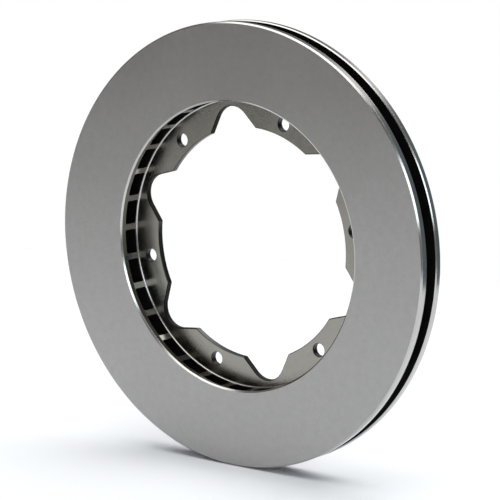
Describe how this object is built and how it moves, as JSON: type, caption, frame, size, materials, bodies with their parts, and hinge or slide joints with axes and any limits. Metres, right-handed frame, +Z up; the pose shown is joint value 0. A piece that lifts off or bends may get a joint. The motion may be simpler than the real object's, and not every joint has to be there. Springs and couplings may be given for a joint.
{
  "type": "vented brake rotor ring",
  "caption": "Vented iron brake rotor ring: two flat friction rings joined by straight radial vanes, with a thin scalloped bolt-on flange inside.",
  "frame": {"origin": "on the rotor's axis, half way through the thickness over both friction faces", "axes": "Y along the rotor's axis, -Y out of the outboard friction face; the rotor stands on its rim with +Z up; the first mounting lug and a vane stand 10.5 degrees from +X towards +Z"},
  "size_m": [0.273, 0.0206, 0.273],
  "materials": {
    "ground_iron": "friction faces ground flat, satin grey, chamfers turned bright",
    "machined_iron": "turned smooth, semi-gloss grey",
    "raw_iron": "as cast, dark and slightly rough"
  },
  "bodies": {
    "root": {"outboard_friction_ring": "ground_iron", "inboard_friction_ring": "ground_iron", "flange_ring": "machined_iron", "mounting_lug_01": "machined_iron", "mounting_lug_02": "machined_iron", "mounting_lug_03": "machined_iron", "mounting_lug_04": "machined_iron", "mounting_lug_05": "machined_iron", "mounting_lug_06": "machined_iron", "vane_01": "raw_iron", "vane_02": "raw_iron", "vane_03": "raw_iron", "vane_04": "raw_iron", "vane_05": "raw_iron", "vane_06": "raw_iron", "vane_07": "raw_iron", "vane_08": "raw_iron", "vane_09": "raw_iron", "vane_10": "raw_iron", "vane_11": "raw_iron", "vane_12": "raw_iron", "vane_13": "raw_iron", "vane_14": "raw_iron", "vane_15": "raw_iron", "vane_16": "raw_iron", "vane_17": "raw_iron", "vane_18": "raw_iron", "vane_19": "raw_iron", "vane_20": "raw_iron", "vane_21": "raw_iron", "vane_22": "raw_iron", "vane_23": "raw_iron", "vane_24": "raw_iron", "vane_25": "raw_iron", "vane_26": "raw_iron", "vane_27": "raw_iron", "vane_28": "raw_iron", "vane_29": "raw_iron", "vane_30": "raw_iron"}
  },
  "joints": []
}
